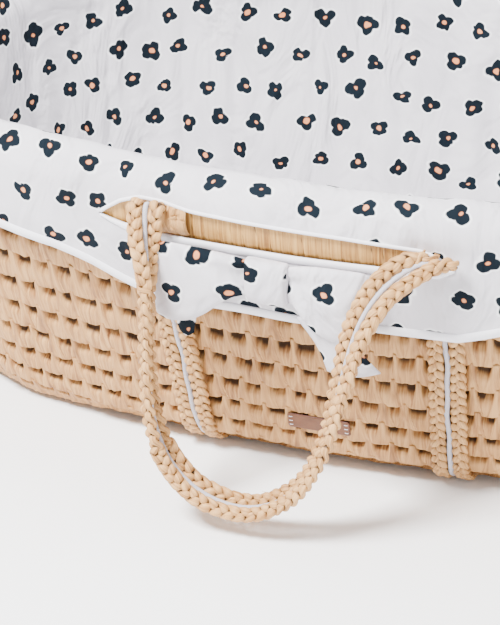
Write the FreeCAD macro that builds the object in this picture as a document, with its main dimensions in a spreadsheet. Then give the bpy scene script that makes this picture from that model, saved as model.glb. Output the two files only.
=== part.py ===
"""Moses basket: coiled husk wall and base, wrapped rim, plaited straps and handles,
lined cloth cover with slots and bows, leather tag and loose mattress.

Frame: millimetres, +Z up, origin on the floor under the middle of the basket,
+X along the basket, -Y towards the near handle.
"""
import math
import os

import FreeCAD, Part
import Sketcher
from FreeCAD import Placement, Rotation, Vector

NEAR, FAR = -1, 1
NEAR_FAR = (("near", NEAR), ("far", FAR))
LEFT_RIGHT = (("left", -1), ("right", 1))

document = FreeCAD.newDocument("moses_basket")
sheet = document.addObject("Spreadsheet::Sheet", "Sheet")

DRIVING_SIZES = (
    # the oval: half length and half width at the middle of the rim and at the base
    ("rim_half_length", 400), ("rim_half_width", 220), ("end_ratio", 0.87),
    ("wall_top_half_length", 414.5), ("wall_top_half_width", 229.6),
    ("wall_foot_half_length", 378.5), ("wall_foot_half_width", 179.6),
    # heights
    ("base_floor", 8.2), ("base_thickness", 11.6), ("rim_height", 234.6),
    # the coiled wall
    ("wall_thickness", 14), ("coil_round", 3.5), ("foot_inset", 12), ("coil_gap", 0.2),
    ("course_floor_1", 8.2), ("course_floor_2", 20), ("course_floor_3", 37),
    ("course_floor_4", 57), ("course_floor_5", 79), ("course_floor_6", 103),
    ("course_floor_7", 128), ("course_floor_8", 154), ("course_floor_9", 180),
    ("course_floor_10", 206),
    # the flat coiled base
    ("base_coil_width", 33),
    # the rim: a pole inside a wrapping of husk
    ("pole_radius", 9), ("wrap_half_depth", 18), ("wrap_half_height", 26),
    # cloth
    ("cloth_gap", 0.6), ("cloth", 1.8), ("hem_height", 156), ("hem_binding", 7),
    ("skirt_shoulder", 200), ("hem_stand_off", 13), ("slot_floor", 214),
    ("slot_left", -158), ("slot_right", 131), ("slot_binding", 6),
    # straps and handles: pairs of plaits beside a cord
    ("plait_width", 11.8), ("plait_depth", 7.6), ("plait_spacing", 16.4),
    ("handle_plait_radius", 5.6), ("cord_radius", 2),
    ("strap_top_x", 112), ("strap_foot_x", 103), ("strap_top", 183), ("strap_gap", 2.7),
    # hinge line of a handle
    ("hinge_out", 248), ("hinge_height", 235),
    # leather tag
    ("tag_length", 51), ("tag_height", 14), ("tag_thickness", 1.6), ("tag_floor", 40),
    # mattress
    ("mattress_half_length", 348), ("mattress_half_width", 152), ("mattress_floor", 22.8),
    ("mattress_height", 34), ("mattress_round", 9), ("mattress_cloth", 0.8),
)
for row, (alias, number) in enumerate(DRIVING_SIZES, start=1):
    sheet.set(f"A{row}", alias)
    sheet.set(f"B{row}", str(number))
    sheet.setAlias(f"B{row}", alias)
document.recompute()


def size(alias):
    """The number in the sheet's cell of that name."""
    return float(sheet.get(alias))


PARTS = []


def keep(piece, name):
    """Marks a finished sub-part and gives it the name of its file."""
    piece.Label = name
    PARTS.append(piece)
    return piece


# ---------------------------------------------------------------- ovals

def side_radius(half_length, half_width):
    """Radius of the long side's arc that meets the end arcs smoothly."""
    end = size("end_ratio") * half_width
    rest = (half_length - end) ** 2 + half_width ** 2 - end ** 2
    return rest / (2 * (half_width - end))


def side_sag(x, half_length, half_width):
    """How far the long side has curved in at a distance x from its middle."""
    radius = side_radius(half_length, half_width)
    return radius - math.sqrt(radius ** 2 - x ** 2)


def oval_arcs(half_length, half_width):
    """Centre, radius, start and end angle of the four arcs, anticlockwise from the right end."""
    end = size("end_ratio") * half_width
    side = side_radius(half_length, half_width)
    reach, drop = half_length - end, side - half_width
    turn = math.atan2(drop, reach)
    return (
        ((reach, 0), end, -turn, turn),
        ((0, -drop), side, turn, math.pi - turn),
        ((-reach, 0), end, math.pi - turn, math.pi + turn),
        ((0, drop), side, math.pi + turn, 2 * math.pi - turn),
    )


def oval_wire(half_length, half_width, height, outset=0):
    """A closed wire parallel to the four arcs, starting in the middle of the right end."""
    edges = []
    for (x, y), radius, start, stop in oval_arcs(half_length, half_width):
        circle = Part.Circle(Vector(x, y, height), Vector(0, 0, 1), radius + outset)
        middle = (start + stop) / 2
        edges.append(Part.Arc(circle, start, middle).toShape())
        edges.append(Part.Arc(circle, middle, stop).toShape())
    return Part.Wire(edges[1:] + edges[:1])


def draw_oval(sketch, half_length, half_width, long_text, wide_text, tag):
    """Adds a constrained four-arc oval to a sketch, bound to the sheet by two formulas."""
    arcs = []
    for (x, y), radius, start, stop in oval_arcs(half_length, half_width):
        circle = Part.Circle(Vector(x, y, 0), Vector(0, 0, 1), radius)
        arcs.append(sketch.addGeometry(Part.ArcOfCircle(circle, start, stop), False))
    right, top, left, bottom = arcs
    for first, second in ((right, top), (top, left), (left, bottom), (bottom, right)):
        sketch.addConstraint(Sketcher.Constraint("Tangent", first, 2, second, 1))
    end = size("end_ratio") * half_width
    side = side_radius(half_length, half_width)
    end_text = f"(Sheet.end_ratio * ({wide_text}))"
    reach_text = f"(({long_text}) - {end_text})"
    side_text = (f"({reach_text}^2 + ({wide_text})^2 - {end_text}^2)"
                 f" / (2 * (({wide_text}) - {end_text}))")
    rules = (
        ("reach_right", ("DistanceX", -1, 1, right, 3, half_length - end), reach_text),
        ("reach_left", ("DistanceX", left, 3, -1, 1, half_length - end), reach_text),
        ("end_right", ("Radius", right, end), end_text),
        ("end_left", ("Radius", left, end), end_text),
        ("side_top", ("Radius", top, side), side_text),
        ("side_bottom", ("Radius", bottom, side), side_text),
    )
    for arc in (right, left):
        sketch.addConstraint(Sketcher.Constraint("PointOnObject", arc, 3, -1))
    for rule, facts, text in rules:
        index = sketch.addConstraint(Sketcher.Constraint(*facts))
        sketch.renameConstraint(index, f"{tag}_{rule}")
        sketch.setExpression(f"Constraints.{tag}_{rule}", text)


def new_body(name, height_text=None):
    """A PartDesign body, lifted to a height given by a formula."""
    body = document.addObject("PartDesign::Body", "body_" + name)
    if height_text:
        body.setExpression("Placement.Base.z", height_text)
    return body


def plane_sketch(body, name, role="XY_Plane"):
    """An empty sketch on one of the body's own origin planes."""
    plane = [p for p in body.Origin.OriginFeatures if p.Role == role][0]
    sketch = body.newObject("Sketcher::SketchObject", "sketch_" + name)
    sketch.AttachmentSupport = [(plane, "")]
    sketch.MapMode = "FlatFace"
    return sketch


def pad(body, sketch, name, length_text):
    """Pads a sketch by a length given by a formula."""
    feature = body.newObject("PartDesign::Pad", "pad_" + name)
    feature.Profile = sketch
    feature.setExpression("Length", length_text)
    document.recompute()
    return feature


def round_edges(body, base, name, radius_text, wanted):
    """Fillets the edges of the base feature that the test picks."""
    edges = [f"Edge{i}" for i, edge in enumerate(base.Shape.Edges, start=1) if wanted(edge)]
    fillet = body.newObject("PartDesign::Fillet", "round_" + name)
    fillet.Base = (base, edges)
    fillet.setExpression("Radius", radius_text)
    document.recompute()
    return fillet


def lies_flat(edge):
    """True for an edge in a level plane."""
    return edge.BoundBox.ZLength < 0.01


# ---------------------------------------------------------------- the coiled wall and base

WALL_LENGTH_TEXT = ("(Sheet.wall_foot_half_length + (Sheet.wall_top_half_length"
                    " - Sheet.wall_foot_half_length) * {share})")
WALL_WIDTH_TEXT = WALL_LENGTH_TEXT.replace("half_length", "half_width")


def wall_share(height):
    """How far up the wall a height is, from 0 at the foot to 1 at the top."""
    foot = size("base_floor")
    return (height - foot) / (size("course_floor_10") - foot)


def wall_outside(height):
    """Half length and half width of the wall's outside at a height."""
    share = wall_share(height)
    sizes = []
    for axis in ("length", "width"):
        foot, top = size(f"wall_foot_half_{axis}"), size(f"wall_top_half_{axis}")
        sizes.append(foot + (top - foot) * share)
    return sizes


def ring(name, sizes, texts, thickness, thickness_text, floor_text, height_text):
    """A coil: an oval ring padded upwards, with rounded edges."""
    body = new_body(name, floor_text)
    sketch = plane_sketch(body, name)
    draw_oval(sketch, *sizes, *texts, "outer")
    inner = [number - thickness for number in sizes]
    inner_texts = [f"({text} - {thickness_text})" for text in texts]
    draw_oval(sketch, *inner, *inner_texts, "inner")
    base = pad(body, sketch, name, height_text)
    round_edges(body, base, name, "Sheet.coil_round", lies_flat)
    return keep(body, name)


def wall_courses():
    for number in range(1, 10):
        low, high = f"Sheet.course_floor_{number}", f"Sheet.course_floor_{number + 1}"
        middle = (size(f"course_floor_{number}") + size(f"course_floor_{number + 1}")) / 2
        inset = size("foot_inset") if number == 1 else 0
        share = (f"((({low} + {high}) / 2 - Sheet.base_floor)"
                 " / (Sheet.course_floor_10 - Sheet.base_floor))")
        less = " - Sheet.foot_inset" if number == 1 else ""
        texts = [text.format(share=share) + less for text in (WALL_LENGTH_TEXT, WALL_WIDTH_TEXT)]
        sizes = [outside - inset for outside in wall_outside(middle)]
        ring(f"wall_course_{number}", sizes, texts, size("wall_thickness"),
             "Sheet.wall_thickness", low, f"{high} - {low} - Sheet.coil_gap")


def base_coils():
    taken = "(Sheet.foot_inset + Sheet.wall_thickness + Sheet.coil_gap + {turns})"
    width, gap = size("base_coil_width"), size("coil_gap")
    low, high = size("course_floor_1"), size("course_floor_2")
    edge = [o - size("foot_inset") - size("wall_thickness") - gap
            for o in wall_outside((low + high) / 2)]
    share = ("(((Sheet.course_floor_1 + Sheet.course_floor_2) / 2 - Sheet.base_floor)"
             " / (Sheet.course_floor_10 - Sheet.base_floor))")
    for turn in range(4):
        less = taken.format(turns=f"{turn} * Sheet.base_coil_width")
        texts = [f"({text.format(share=share)} - {less})"
                 for text in (WALL_LENGTH_TEXT, WALL_WIDTH_TEXT)]
        sizes = [number - turn * width for number in edge]
        ring(f"base_coil_{turn + 1}", sizes, texts, width - gap,
             "(Sheet.base_coil_width - Sheet.coil_gap)", "Sheet.base_floor",
             "Sheet.base_thickness")
    less = taken.format(turns="4 * Sheet.base_coil_width")
    texts = [f"({text.format(share=share)} - {less})"
             for text in (WALL_LENGTH_TEXT, WALL_WIDTH_TEXT)]
    body = new_body("base_centre", "Sheet.base_floor")
    sketch = plane_sketch(body, "base_centre")
    draw_oval(sketch, *[number - 4 * width for number in edge], *texts, "outer")
    base = pad(body, sketch, "base_centre", "Sheet.base_thickness")
    round_edges(body, base, "base_centre", "Sheet.coil_round", lies_flat)
    keep(body, "base_centre")


# ---------------------------------------------------------------- swept and lofted pieces

def feature(name, shape):
    """A sub-part whose shape is computed from the sheet's sizes."""
    piece = document.addObject("Part::Feature", "shape_" + name)
    piece.Shape = shape
    return keep(piece, name)


def rim_sweep(profile):
    """Sweeps a closed wire, drawn at the rim's right end, round the rim's oval."""
    path = oval_wire(size("rim_half_length"), size("rim_half_width"), size("rim_height"))
    return path.makePipeShell([profile], True, False)


def rim_centre():
    return Vector(size("rim_half_length"), 0, size("rim_height"))


def ellipse_wire(depth, height):
    """An upright ellipse round the rim's middle line, taller than it is deep."""
    centre = rim_centre()
    top, side = centre + Vector(0, 0, height), centre + Vector(depth, 0, 0)
    return Part.Wire(Part.Ellipse(top, side, centre).toShape())


def rim():
    pole = Part.Wire(Part.Circle(rim_centre(), Vector(0, 1, 0), size("pole_radius")).toShape())
    feature("rim_pole", rim_sweep(pole))
    hollow = Part.Wire(Part.Circle(rim_centre(), Vector(0, 1, 0),
                                   size("pole_radius") + size("coil_gap")).toShape())
    wrap = rim_sweep(ellipse_wire(size("wrap_half_depth"), size("wrap_half_height")))
    feature("rim_wrap", wrap.cut(rim_sweep(hollow)))


def rim_cover():
    """The cloth over the upper half of the rim."""
    inner = [size(f"wrap_half_{side}") + size("cloth_gap") for side in ("depth", "height")]
    outer = [number + size("cloth") for number in inner]
    sleeve = rim_sweep(ellipse_wire(*outer)).cut(rim_sweep(ellipse_wire(*inner)))
    reach_x = size("rim_half_length") + 2 * outer[0]
    reach_y = size("rim_half_width") + 2 * outer[0]
    upper = Part.makeBox(2 * reach_x, 2 * reach_y, 2 * outer[1],
                         Vector(-reach_x, -reach_y, size("rim_height")))
    feature("cover_rim", sleeve.common(upper))


def oval_solid(levels):
    """A ruled solid through ovals, each given as half length, half width, height and outset."""
    return Part.makeLoft([oval_wire(*level) for level in levels], True, True)


def shell(levels, thickness):
    """An open oval tube of that wall thickness, measured inwards from the levels."""
    inner = [(*level[:3], level[3] - thickness) for level in levels]
    low, high = list(inner[0]), list(inner[-1])
    low[2] -= 0.5
    high[2] += 0.5
    return oval_solid(levels).cut(oval_solid([low] + inner + [high]))


def skirt_level(height, extra=0.0):
    """The oval of the skirt's outside at a height: parallel to the rim, and to the wall at the hem."""
    full = (size("rim_half_length"), size("rim_half_width"),
            size("wrap_half_depth") + size("cloth_gap") + size("cloth"))
    hem = (*wall_outside(size("hem_height")), size("hem_stand_off") + size("cloth"))
    share = (height - size("hem_height")) / (size("skirt_shoulder") - size("hem_height"))
    share = min(share, 1)
    half_length, half_width, outset = (low + (high - low) * share for low, high in zip(hem, full))
    return (half_length, half_width, height, outset + extra)


def slot_tool(low, high, side):
    """A block through one long side of the skirt, between two heights."""
    left, right = size("slot_left"), size("slot_right")
    if side == FAR:
        left, right = -right, -left
    depth = 90
    y = -depth - size("rim_half_width") + 50 if side == NEAR else size("rim_half_width") - 50
    return Part.makeBox(right - left, depth, high - low, Vector(left, y, low))


def cover():
    top = size("rim_height") - 0.2
    hem, binding = size("hem_height"), size("hem_binding")
    slot_low = size("slot_floor") - size("slot_binding")
    gap = size("coil_gap")
    skirt = shell([skirt_level(hem + binding + gap), skirt_level(size("skirt_shoulder")),
                   skirt_level(top)], size("cloth"))
    for side in (NEAR, FAR):
        skirt = skirt.cut(slot_tool(slot_low, top + 1, side))
    feature("cover_skirt", skirt)
    edge = [skirt_level(hem, 0.4), skirt_level(hem + binding, 0.4)]
    feature("hem_binding", shell(edge, size("cloth") + 0.8))
    band = shell([skirt_level(slot_low + gap, 0.4), skirt_level(size("slot_floor"), 0.4)],
                 size("cloth") + 0.8)
    for word, side in NEAR_FAR:
        tool = slot_tool(slot_low, size("slot_floor") + 1, side)
        feature(f"slot_binding_{word}", band.common(tool))


def lining():
    """The cloth bag inside: a wall from the rim down, closed by a floor."""
    reach = size("wrap_half_depth") + size("cloth_gap")
    top = (size("rim_half_length"), size("rim_half_width"), size("rim_height") - 0.2, -reach)
    clear = size("wall_thickness") + 2 * size("cloth_gap")
    foot_height = size("course_floor_2") + 0.6
    foot = (*wall_outside(foot_height), foot_height, -clear)
    cloth = size("cloth")
    inside = [(*foot[:2], foot_height + cloth, -clear - cloth),
              (*top[:2], top[2] + 0.5, -reach - cloth)]
    feature("cover_lining", oval_solid([foot, top]).cut(oval_solid(inside)))


# ---------------------------------------------------------------- straps, lashings, handles

def slanted_box(width, depth, start, stop):
    """A box of that width along X whose middle runs from one point up to another."""
    run = stop - start
    box = Part.makeBox(width, depth, run.Length, Vector(-width / 2, -depth / 2, 0))
    box = box.makeFillet(1.5, [edge for edge in box.Edges if edge.BoundBox.ZLength > 1])
    box.Placement = Placement(start, Rotation(Vector(0, 0, 1), run))
    return box


def strap_point(height, side, hand, offset=0.0):
    """The middle of a strap on the outside of the wall at a height, or of one of its plaits."""
    share = wall_share(height)
    x = size("strap_foot_x") + (size("strap_top_x") - size("strap_foot_x")) * share
    half_length, half_width = wall_outside(height)
    inner_edge = abs(hand * x + offset) - size("plait_width") / 2
    sag = side_sag(inner_edge, half_length, half_width)
    out = half_width - sag + size("plait_depth") / 2 + size("strap_gap")
    return Vector(hand * x + offset, side * out, height)


def straps():
    half = size("plait_spacing") / 2
    foot = size("plait_depth") + 0.6
    for hand_word, hand in LEFT_RIGHT:
        for side_word, side in NEAR_FAR:
            for strand, offset in (("a", -half), ("b", half)):
                start = strap_point(foot + 1.0, side, hand, offset)
                stop = strap_point(size("strap_top"), side, hand, offset)
                shape = slanted_box(size("plait_width"), size("plait_depth"), start, stop)
                feature(f"strap_{side_word}_{hand_word}_plait_{strand}", shape)
        reach = abs(strap_point(foot, FAR, hand).y) + size("plait_depth") / 2
        under = hand * size("strap_foot_x")
        for strand, offset in (("a", -half), ("b", half)):
            runner = document.addObject("Part::Box", f"runner_{hand_word}_{strand}")
            runner.Width = 2 * reach
            runner.setExpression("Length", "Sheet.plait_width")
            runner.setExpression("Height", "Sheet.plait_depth")
            corner = under + offset - size("plait_width") / 2
            runner.Placement = Placement(Vector(corner, -reach, 0), Rotation())
            keep(runner, f"strap_{hand_word}_under_plait_{strand}")
        feature(f"strap_{hand_word}_cord", strap_cord(hand))


def strap_cord(hand):
    """The cord between the plaits: up the near wall, under the base and up the far wall."""
    middle = size("plait_depth") / 2
    near = [strap_point(size(name), NEAR, hand)
            for name in ("strap_top", "course_floor_5", "course_floor_2")]
    turn = strap_point(middle, NEAR, hand)
    points = near + [turn, Vector(turn.x, -turn.y, turn.z)]
    points += [Vector(p.x, -p.y, p.z) for p in reversed(near)]
    return tube(points, size("cord_radius"))


# Distances from the middle plane: the plate's front and back, and the tongue's back.
LASHING_FRONT, LASHING_BACK, TONGUE_BACK = 241.2, 236.2, 233.3
LASHING_WIDTH, TONGUE_HEIGHT = 30, 16
HANDLE_CLEARANCE = 4


def lashings():
    """Husk bindings that come out of the slots and hold the handles' roots."""
    low, high = size("slot_floor") + 1, size("hinge_height") - HANDLE_CLEARANCE
    front, middle, back = LASHING_FRONT, LASHING_BACK, TONGUE_BACK
    for side_word, side in NEAR_FAR:
        for hand_word, hand in LEFT_RIGHT:
            x = hand * size("strap_top_x") - LASHING_WIDTH / 2
            plate = Part.makeBox(LASHING_WIDTH, front - middle, high - low, Vector(x, -front, low))
            plate = plate.makeFillet(2, [e for e in plate.Edges if e.Vertexes[0].Y < -front + 1
                                         and e.Vertexes[1].Y < -front + 1])
            tongue = Part.makeBox(LASHING_WIDTH, middle - back, TONGUE_HEIGHT,
                                  Vector(x, -middle, low + 1))
            shape = plate.fuse(tongue).removeSplitter()
            if side == FAR:
                shape = shape.mirror(Vector(0, 0, 0), Vector(0, 1, 0))
            feature(f"lashing_{side_word}_{hand_word}", shape)


def tangent_path(points):
    """Straight runs joined by tangent arcs. Each arc is as large as its two runs allow."""
    edges, start, radii = [], points[0], []
    for before, corner, after in zip(points, points[1:], points[2:]):
        run_in, run_out = before - corner, after - corner
        cut = 0.45 * min(run_in.Length, run_out.Length)
        turn = math.pi - run_in.getAngle(run_out)
        radius = cut / math.tan(turn / 2)
        radii.append(radius)
        first = corner + Vector(run_in).normalize() * cut
        last = corner + Vector(run_out).normalize() * cut
        inward = (Vector(run_in).normalize() + Vector(run_out).normalize()).normalize()
        middle = corner + inward * (radius / math.cos(turn / 2) - radius)
        edges.append(Part.makeLine(start, first))
        edges.append(Part.Arc(first, middle, last).toShape())
        start = last
    edges.append(Part.makeLine(start, points[-1]))
    return Part.Wire(edges), radii


def tube(points, radius):
    """A round bar along a route."""
    path, radii = tangent_path(points)
    direction = points[1] - points[0]
    profile = Part.Wire(Part.Circle(points[0], direction, radius).toShape())
    shape = path.makePipeShell([profile], True, False)
    expected = math.pi * radius ** 2 * path.Length
    print(f"tube: smallest bend {min(radii):.1f} mm, length {path.Length:.1f} mm,"
          f" volume share {shape.Volume / expected:.3f}")
    return shape


# Route of the near handle's middle line, from its left root round to its right root, with
# the angle between the pair of plaits and the plane of the loop.
HANDLE_ROUTE = (
    (-112, -248, 235, 0), (-111, -253, 221, 15), (-109, -261, 202, 50), (-107, -268, 176, 88),
    (-106, -275, 140, 100), (-104, -280, 106, 96), (-98, -283, 75, 90), (-84, -285, 47, 84),
    (-61, -286, 28, 82), (-31, -286, 20, 82), (-3, -286, 28, 82), (19, -285, 47, 80),
    (34, -284, 74, 76), (43, -282, 103, 68), (49, -280, 131, 58), (55, -277, 160, 46),
    (63, -272, 188, 34), (75, -264, 206, 22), (92, -254, 219, 10), (112, -248, 235, 0),
)


def handle_routes():
    """The middle line of a handle and of its two plaits, for the near side."""
    middle = [Vector(*row[:3]) for row in HANDLE_ROUTE]
    half = size("plait_spacing") / 2
    outer, inner = [], []
    for index, (point, row) in enumerate(zip(middle, HANDLE_ROUTE)):
        before = middle[max(index - 1, 0)]
        after = middle[min(index + 1, len(middle) - 1)]
        along = (after - before).normalize()
        outward = Vector(0, -1, 0)
        outward = (outward - along * outward.dot(along)).normalize()
        across = along.cross(outward)
        angle = math.radians(row[3])
        width = across * math.cos(angle) + outward * math.sin(angle)
        if index in (0, len(middle) - 1):
            # Both plaits start and end on the line that the handle turns about.
            width = Vector(math.copysign(1, point.x) / math.sqrt(1 - along.x ** 2), 0, 0)
        outer.append(point + width * half)
        inner.append(point - width * half)
    return middle, outer, inner


def handles():
    middle, outer, inner = handle_routes()
    pieces = (("plait_outer", outer, size("handle_plait_radius")),
              ("plait_inner", inner, size("handle_plait_radius")),
              ("cord", middle, size("cord_radius")))
    for piece, route, radius in pieces:
        near = tube(route, radius)
        feature(f"handle_near_{piece}", near)
        far = near.copy()
        far.rotate(Vector(0, 0, 0), Vector(0, 0, 1), 180)
        feature(f"handle_far_{piece}", far)


# ---------------------------------------------------------------- bows, tag, mattress

# Outlines of the near bow's pieces in X and Z, with how far out in Y each one starts and stops.
BOW_PIECES = {
    "knot": (((-32.5, 178), (-0.2, 178), (-0.2, 212), (-32, 213)), 241.2, 257),
    "loop_left": (((-96, 153), (-76, 154), (-33.5, 181), (-33.5, 209), (-90, 211), (-97, 203)),
                  242, 258),
    "loop_right": (((0.8, 178), (22, 158), (36, 157), (47, 160), (50, 211), (0.8, 210)), 242, 258),
    "tail_left": (((-92, 138), (-79, 138), (-64, 168), (-78, 172)), 235, 238.5),
    "tail_right": (((27, 127), (45, 124), (68, 133), (55, 152), (24, 155)), 246, 249.5),
}


def bows():
    for side_word, side in NEAR_FAR:
        for piece, (outline, back, front) in BOW_PIECES.items():
            name = f"bow_{side_word}_{piece}"
            body = new_body(name)
            sketch = plane_sketch(body, name, "XZ_Plane")
            corners = [Vector(x * -side, z, 0) for x, z in outline]
            for first, second in zip(corners, corners[1:] + corners[:1]):
                sketch.addGeometry(Part.LineSegment(first, second), False)
            count = len(corners)
            for index in range(count):
                sketch.addConstraint(Sketcher.Constraint(
                    "Coincident", index, 2, (index + 1) % count, 1))
            sketch.addConstraint([Sketcher.Constraint("Block", i) for i in range(count)])
            base = pad(body, sketch, name, f"{front - back}")
            if front - back > 8:
                round_edges(body, base, name, "Sheet.plait_width / 3", lambda edge: True)
            shift = -back if side == NEAR else front
            body.Placement = Placement(Vector(0, shift, 0), Rotation())
            keep(body, name)


def tag():
    """A leather label stitched flat to the near wall."""
    middle = size("tag_floor") + size("tag_height") / 2
    half_width = wall_outside(middle)[1]
    body = new_body("leather_tag")
    sketch = plane_sketch(body, "leather_tag", "XZ_Plane")
    long, high = size("tag_length") / 2, size("tag_height")
    corners = [Vector(x, z, 0) for x, z in ((-long, 0), (long, 0), (long, high), (-long, high))]
    for first, second in zip(corners, corners[1:] + corners[:1]):
        sketch.addGeometry(Part.LineSegment(first, second), False)
    for index in range(4):
        sketch.addConstraint(Sketcher.Constraint("Coincident", index, 2, (index + 1) % 4, 1))
    for kind, edge in (("Vertical", 1), ("Horizontal", 2), ("Vertical", 3)):
        sketch.addConstraint(Sketcher.Constraint(kind, edge))
    sketch.addConstraint(Sketcher.Constraint("Symmetric", 0, 1, 0, 2, -2))
    sketch.addConstraint(Sketcher.Constraint("PointOnObject", 0, 1, -1))
    for edge, alias, kind in ((0, "tag_length", "Distance"), (1, "tag_height", "Distance")):
        index = sketch.addConstraint(Sketcher.Constraint(kind, edge, size(alias)))
        sketch.renameConstraint(index, alias)
        sketch.setExpression(f"Constraints.{alias}", f"Sheet.{alias}")
    pad(body, sketch, "leather_tag", "Sheet.tag_thickness")
    body.Placement = Placement(Vector(0, -half_width - 2.2, size("tag_floor")), Rotation())
    keep(body, "leather_tag")


def mattress():
    body = new_body("mattress_pad", "Sheet.mattress_floor + Sheet.mattress_cloth")
    sketch = plane_sketch(body, "mattress_pad")
    less = size("mattress_cloth")
    sizes = (size("mattress_half_length") - less, size("mattress_half_width") - less)
    texts = ("(Sheet.mattress_half_length - Sheet.mattress_cloth)",
             "(Sheet.mattress_half_width - Sheet.mattress_cloth)")
    draw_oval(sketch, *sizes, *texts, "outer")
    base = pad(body, sketch, "mattress_pad", "Sheet.mattress_height - 2 * Sheet.mattress_cloth")
    round_edges(body, base, "mattress_pad", "Sheet.mattress_round", lies_flat)
    keep(body, "mattress_pad")
    levels = [(size("mattress_half_length"), size("mattress_half_width"), height)
              for height in (size("mattress_floor"),
                             size("mattress_floor") + size("mattress_height"))]
    outside = oval_solid(levels)
    outside = outside.makeFillet(size("mattress_round") + less,
                                 [edge for edge in outside.Edges if lies_flat(edge)])
    feature("mattress_cover", outside.cut(body.Shape))


wall_courses()
base_coils()
rim()
rim_cover()
cover()
lining()
straps()
lashings()
handles()
bows()
tag()
mattress()
document.recompute()

for item in document.Objects:
    if "Invalid" in item.State or "Error" in item.State:
        raise RuntimeError(f"{item.Label}: {item.State}")
for piece in PARTS:
    shape = piece.Shape
    if shape.isNull() or not shape.isValid() or shape.Volume <= 0:
        raise RuntimeError(f"{piece.Label}: its shape is null, open or invalid")

os.makedirs("parts", exist_ok=True)
for piece in PARTS:
    piece.Shape.exportStep(os.path.join("parts", piece.Label + ".step"))
print(len(PARTS), "sub-parts written")
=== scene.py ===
"""Moses basket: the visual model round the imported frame. Sizes in the code are millimetres."""
import math
import bpy
import numpy as np
from mathutils import Matrix, Vector


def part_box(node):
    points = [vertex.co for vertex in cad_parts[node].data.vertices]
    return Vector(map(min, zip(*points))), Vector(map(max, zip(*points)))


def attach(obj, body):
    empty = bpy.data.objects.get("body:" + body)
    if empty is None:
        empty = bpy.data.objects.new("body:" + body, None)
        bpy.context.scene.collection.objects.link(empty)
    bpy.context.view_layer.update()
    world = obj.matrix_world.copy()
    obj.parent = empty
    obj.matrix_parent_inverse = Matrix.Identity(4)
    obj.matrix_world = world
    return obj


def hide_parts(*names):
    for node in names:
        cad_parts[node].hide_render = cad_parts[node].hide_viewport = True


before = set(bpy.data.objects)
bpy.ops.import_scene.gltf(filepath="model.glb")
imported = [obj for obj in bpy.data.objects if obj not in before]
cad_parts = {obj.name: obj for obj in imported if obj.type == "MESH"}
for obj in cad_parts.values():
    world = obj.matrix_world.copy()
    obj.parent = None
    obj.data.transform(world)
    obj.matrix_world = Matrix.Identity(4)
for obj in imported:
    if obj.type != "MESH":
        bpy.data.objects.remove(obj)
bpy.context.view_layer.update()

MM = 0.001
NEAR, FAR = -1, 1


# ------------------------------------------------------------------ camera and light

def camera():
    data = bpy.data.cameras.new("camera")
    data.sensor_fit = "HORIZONTAL"
    data.sensor_width = 36.0
    data.lens = 185.6
    data.shift_x = -0.3716
    data.shift_y = 0.0864
    data.clip_start, data.clip_end = 0.05, 50
    cam = bpy.data.objects.new("camera", data)
    right = Vector((0.95203, 0.30597, 0.00449)).normalized()
    up = Vector((-0.15102, 0.45704, 0.87653)).normalized()
    back = right.cross(up)
    cam.matrix_world = Matrix((
        (right.x, up.x, back.x, 0.6056),
        (right.y, up.y, back.y, -1.7973),
        (right.z, up.z, back.z, 1.0485),
        (0, 0, 0, 1)))
    bpy.context.scene.collection.objects.link(cam)
    bpy.context.scene.camera = cam


def area_light(name, place, target, size, power):
    data = bpy.data.lights.new(name, "AREA")
    data.shape, data.size, data.energy = "SQUARE", size, power
    lamp = bpy.data.objects.new(name, data)
    lamp.location = place
    lamp.rotation_mode = "QUATERNION"
    lamp.rotation_quaternion = (Vector(target) - Vector(place)).to_track_quat("-Z", "Y")
    bpy.context.scene.collection.objects.link(lamp)


def studio():
    world = bpy.data.worlds.new("studio")
    world.use_nodes = True
    sky = world.node_tree.nodes["Background"].inputs
    sky["Color"].default_value = (0.97, 0.98, 1.0, 1)
    sky["Strength"].default_value = 1.0
    bpy.context.scene.world = world
    area_light("key", (-0.7, -1.3, 2.3), (0, -0.1, 0.1), 0.7, 270)
    area_light("fill", (1.9, -1.3, 1.3), (0, 0, 0.1), 1.6, 14)
    area_light("top", (0.2, 0.7, 2.3), (0, 0, 0.1), 1.6, 30)
    mesh = bpy.data.meshes.new("floor")
    half = 12
    mesh.from_pydata([(-half, -half, 0), (half, -half, 0), (half, half, 0), (-half, half, 0)],
                     [], [(0, 1, 2, 3)])
    floor = bpy.data.objects.new("floor", mesh)
    bpy.context.scene.collection.objects.link(floor)
    paint = Paint("floor_paint")
    grain = paint.noise((paint.space("Object"), 40), detail=2)
    tone = paint.ramp(grain, (0.3, (0.975, 0.98, 0.985)), (0.7, (0.985, 0.985, 0.985)))
    mesh.materials.append(paint.finish(tone, 0.7))


# ------------------------------------------------------------------ procedural paint

class Value:
    """A number in a node tree, so that sums can be written plainly."""

    def __init__(self, paint, socket):
        self.paint, self.socket = paint, socket

    def __add__(self, other):
        return self.paint.sum("ADD", self, other)

    def __sub__(self, other):
        return self.paint.sum("SUBTRACT", self, other)

    def __mul__(self, other):
        return self.paint.sum("MULTIPLY", self, other)

    def __truediv__(self, other):
        return self.paint.sum("DIVIDE", self, other)


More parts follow.
